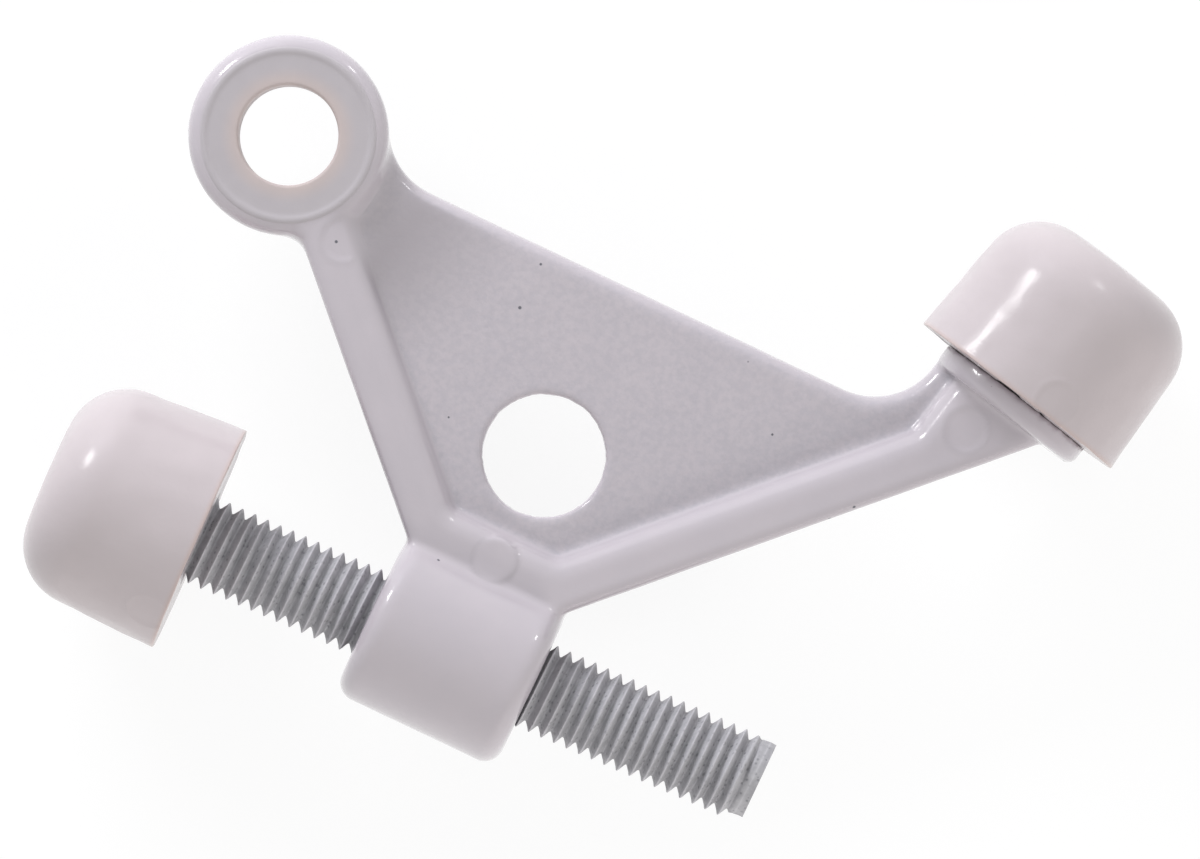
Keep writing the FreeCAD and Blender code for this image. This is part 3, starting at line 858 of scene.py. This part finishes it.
def bumper_mesh(name, place, seed, mark_turn, sag=0.0):
    """A bumper on its frame, with the slow waves of a moulding and its round mould mark. It may sag on its seat."""
    settings = bpy.context.scene.door_stop.bumper
    mesh = lathe(name, bumper_profile(), settings.segments)
    points = points_of(mesh)
    outer = away_from(points, (0, 0)) > HEAD_D / 2 + 1
    outer |= points[:, 2] > LIP_T + HEAD_T + 1
    mesh.flip_normals()
    mesh.update()
    normals = normals_of(mesh)
    side = 1 - smooth_step(8.0, 12.0, points[:, 2])
    move = 0.02 * waves(points, 6.0, seed) + (0.015 + 0.055 * side) * waves(points, 2.4, seed + 1)
    turn = np.arctan2(points[:, 0], points[:, 1]) - math.radians(mark_turn)
    away = np.hypot(turn * BUMPER_D / 2, points[:, 2] - MOULD_MARK_RISE)
    inside = 1 - smooth_step(MOULD_MARK_R - 0.3, MOULD_MARK_R, away)
    move += MOULD_RIDGE * ring(away, MOULD_MARK_R, 0.2) - MOULD_DIP * inside
    points += normals * (move * outer)[:, None]
    reach = away_from(points, (0, 0))
    low = points[:, 2] < 0.01
    points[low, 2] = -sag * (1 - smooth_step(SEAT_R, BUMPER_D / 2, reach[low]))
    put_points(mesh, points)
    put_mask(mesh, "rim", (1 - smooth_step(0.05, 0.55, points[:, 2])) * smooth_step(10.0, 10.6, reach))
    mesh.transform(place @ Matrix.Scale(MM, 4))
    shaded(mesh)
    return mesh


class DOORSTOP_OT_bumpers(bpy.types.Operator):
    """Build the two rubber bumpers"""
    bl_idname = "doorstop.bumpers"
    bl_label = "Bumpers"

    def execute(self, context):
        finish = rubber_finish(context.scene.door_stop.bumper)
        rod_base = BOSS_CENTRE - ROD_ALONG * ROD_TO_BUMPER * MM
        mesh = bumper_mesh("rod_end_bumper", stand(rod_base, -ROD_ALONG), 11, ROD_MARK_TURN)
        piece("rod_end_bumper", mesh, "bumper", "white_rubber", finish, "rod_bumper")
        turn = math.radians(ARM_ANGLE)
        place = stand(ARM_BASE, Vector((math.cos(turn), math.sin(turn), 0)))
        mesh = bumper_mesh("arm_end_bumper", place, 23, ARM_MARK_TURN, SEAT_SAG)
        piece("arm_end_bumper", mesh, "casting", "white_rubber", finish, "arm_bumper")
        return {"FINISHED"}


# Stage

PICTURE_TURN = 25.4         # degrees from the part's X to the picture's right
PICTURE_CENTRE = Vector((36.98, -11.98, 0)) * MM
PICTURE_WIDTH = 109.09 * MM
SENSOR = 36.0
LENS = 420.0
FLOOR_HALF = 1.2
FLOOR_GLOW = 0.885          # what the camera sees of the floor's own white
FLOOR_SHADE = 0.15          # and the share of its colour that takes the shadow
# Each lamp's bearing and height in degrees, distance and size in metres, colour, and whether gloss mirrors it
LAMPS = {
    "key": (112, 18, 0.6, 0.28, (0.94, 0.95, 1.0), False),
    "spark": (132, 25, 0.55, 0.10, (1.0, 1.0, 1.0), True),
    "glint": (52, 25, 0.55, 0.06, (1.0, 1.0, 1.0), True),
    "fill": (-75, 22, 0.6, 0.28, (1.0, 0.965, 0.93), False),
    "side": (20, 20, 0.6, 0.28, (1.0, 0.985, 0.97), False),
}


def seen_rays(graph):
    """One for rays from the camera, and for those that gloss and glass send on."""
    path = graph.add("ShaderNodeLightPath").outputs
    direct = graph.math("MAXIMUM", path["Is Camera Ray"], path["Is Glossy Ray"])
    return graph.math("MAXIMUM", direct, path["Is Transmission Ray"])


def pale_floor(settings):
    """Matt floor that glows a little to the camera, so that it is white and still takes the shadow."""
    material = bpy.data.materials.new("pale_floor")
    material.use_nodes = True
    material.node_tree.nodes.clear()
    graph = Graph(material.node_tree)
    out = graph.add("ShaderNodeOutputMaterial")
    matt = graph.add("ShaderNodeBsdfDiffuse")
    matt.inputs["Color"].default_value = rgba(settings.floor)
    dim = graph.add("ShaderNodeBsdfDiffuse")
    dim.inputs["Color"].default_value = rgba([c * FLOOR_SHADE for c in settings.floor])
    glow = graph.add("ShaderNodeEmission")
    glow.inputs["Strength"].default_value = FLOOR_GLOW
    both = graph.add("ShaderNodeAddShader")
    graph.set(both.inputs[0], dim.outputs[0])
    graph.set(both.inputs[1], glow.outputs[0])
    choose = graph.add("ShaderNodeMixShader")
    graph.set(choose.inputs[0], seen_rays(graph))
    graph.set(choose.inputs[1], matt.outputs[0])
    graph.set(choose.inputs[2], both.outputs[0])
    graph.set(out.inputs["Surface"], choose.outputs[0])
    return material


def soft_sky(strength):
    world = bpy.data.worlds.new("soft_sky")
    world.use_nodes = True
    world.node_tree.nodes.clear()
    graph = Graph(world.node_tree)
    out = graph.add("ShaderNodeOutputWorld")
    light = graph.add("ShaderNodeBackground")
    light.inputs["Color"].default_value = (0.98, 0.985, 1.0, 1.0)
    light.inputs["Strength"].default_value = strength
    white = graph.add("ShaderNodeBackground")
    white.inputs["Color"].default_value = (1.0, 1.0, 1.0, 1.0)
    choose = graph.add("ShaderNodeMixShader")
    graph.set(choose.inputs[0], seen_rays(graph))
    graph.set(choose.inputs[1], light.outputs[0])
    graph.set(choose.inputs[2], white.outputs[0])
    graph.set(out.inputs["Surface"], choose.outputs[0])
    return world


def picture_frame():
    """Turn from the picture's right, up and towards the viewer to the part's own axes."""
    return Matrix.Rotation(math.radians(PICTURE_TURN), 4, "Z")


def lamp(name, power):
    """Square lamp that faces the picture's middle."""
    bearing, height, away, size, colour, mirrored = LAMPS[name]
    data = bpy.data.lights.new(name, "AREA")
    data.size = size
    data.energy = power
    data.color = colour
    made = bpy.data.objects.new(name, data)
    turn, lift = math.radians(bearing), math.radians(height)
    offset = Vector((math.cos(turn) * math.cos(lift), math.sin(turn) * math.cos(lift), math.sin(lift)))
    offset = picture_frame() @ (offset * away)
    made.location = PICTURE_CENTRE + offset
    made.rotation_euler = (-offset).to_track_quat("-Z", "Y").to_euler()
    made.visible_glossy = mirrored
    bpy.context.scene.collection.objects.link(made)


class DOORSTOP_OT_stage(bpy.types.Operator):
    """Build the floor, the lamps and the camera"""
    bl_idname = "doorstop.stage"
    bl_label = "Stage"

    def execute(self, context):
        scene = context.scene
        settings = scene.door_stop.stage
        height = CAD_BOX[0][2]
        half = FLOOR_HALF
        mesh = bpy.data.meshes.new("floor")
        mesh.from_pydata([(-half, -half, height), (half, -half, height), (half, half, height), (-half, half, height)],
                         [], [(0, 1, 2, 3)])
        mesh.materials.append(pale_floor(settings))
        floor = bpy.data.objects.new("floor", mesh)
        scene.collection.objects.link(floor)
        scene.world = soft_sky(settings.sky)
        for name in LAMPS:
            lamp(name, getattr(settings, name))
        camera = bpy.data.objects.new("camera", bpy.data.cameras.new("camera"))
        camera.data.sensor_width = SENSOR
        camera.data.sensor_fit = "HORIZONTAL"
        camera.data.lens = LENS
        camera.location = PICTURE_CENTRE + Vector((0, 0, PICTURE_WIDTH * LENS / SENSOR))
        camera.rotation_euler = (0, 0, math.radians(PICTURE_TURN))
        scene.collection.objects.link(camera)
        scene.camera = camera
        scene.view_settings.view_transform = "Standard"
        return {"FINISHED"}


OPERATORS = (DOORSTOP_OT_casting, DOORSTOP_OT_bushing, DOORSTOP_OT_screw, DOORSTOP_OT_bumpers, DOORSTOP_OT_stage)


class DOORSTOP_PT_panel(bpy.types.Panel):
    """Door stop pieces and their sizes"""
    bl_label = "Door stop"
    bl_idname = "DOORSTOP_PT_panel"
    bl_space_type = "VIEW_3D"
    bl_region_type = "UI"
    bl_category = "Door stop"

    def draw(self, context):
        settings = context.scene.door_stop
        for operator, name in zip(OPERATORS, ("casting", "bushing", "screw", "bumper", "stage")):
            box = self.layout.box()
            box.operator(operator.bl_idname)
            group = getattr(settings, name)
            for field in group.bl_rna.properties.keys():
                if field not in ("rna_type", "name"):
                    box.prop(group, field)


CLASSES = (CastingSettings, BushingSettings, ScrewSettings, BumperSettings, StageSettings, DoorStopSettings,
           *OPERATORS, DOORSTOP_PT_panel)


def register():
    for made in CLASSES:
        bpy.utils.register_class(made)
    bpy.types.Scene.door_stop = PointerProperty(type=DoorStopSettings)


def unregister():
    del bpy.types.Scene.door_stop
    for made in reversed(CLASSES):
        bpy.utils.unregister_class(made)


def main():
    register()
    bpy.ops.doorstop.casting()
    bpy.ops.doorstop.bushing()
    bpy.ops.doorstop.screw()
    bpy.ops.doorstop.bumpers()
    bpy.ops.doorstop.stage()


if __name__ == "__main__":
    main()
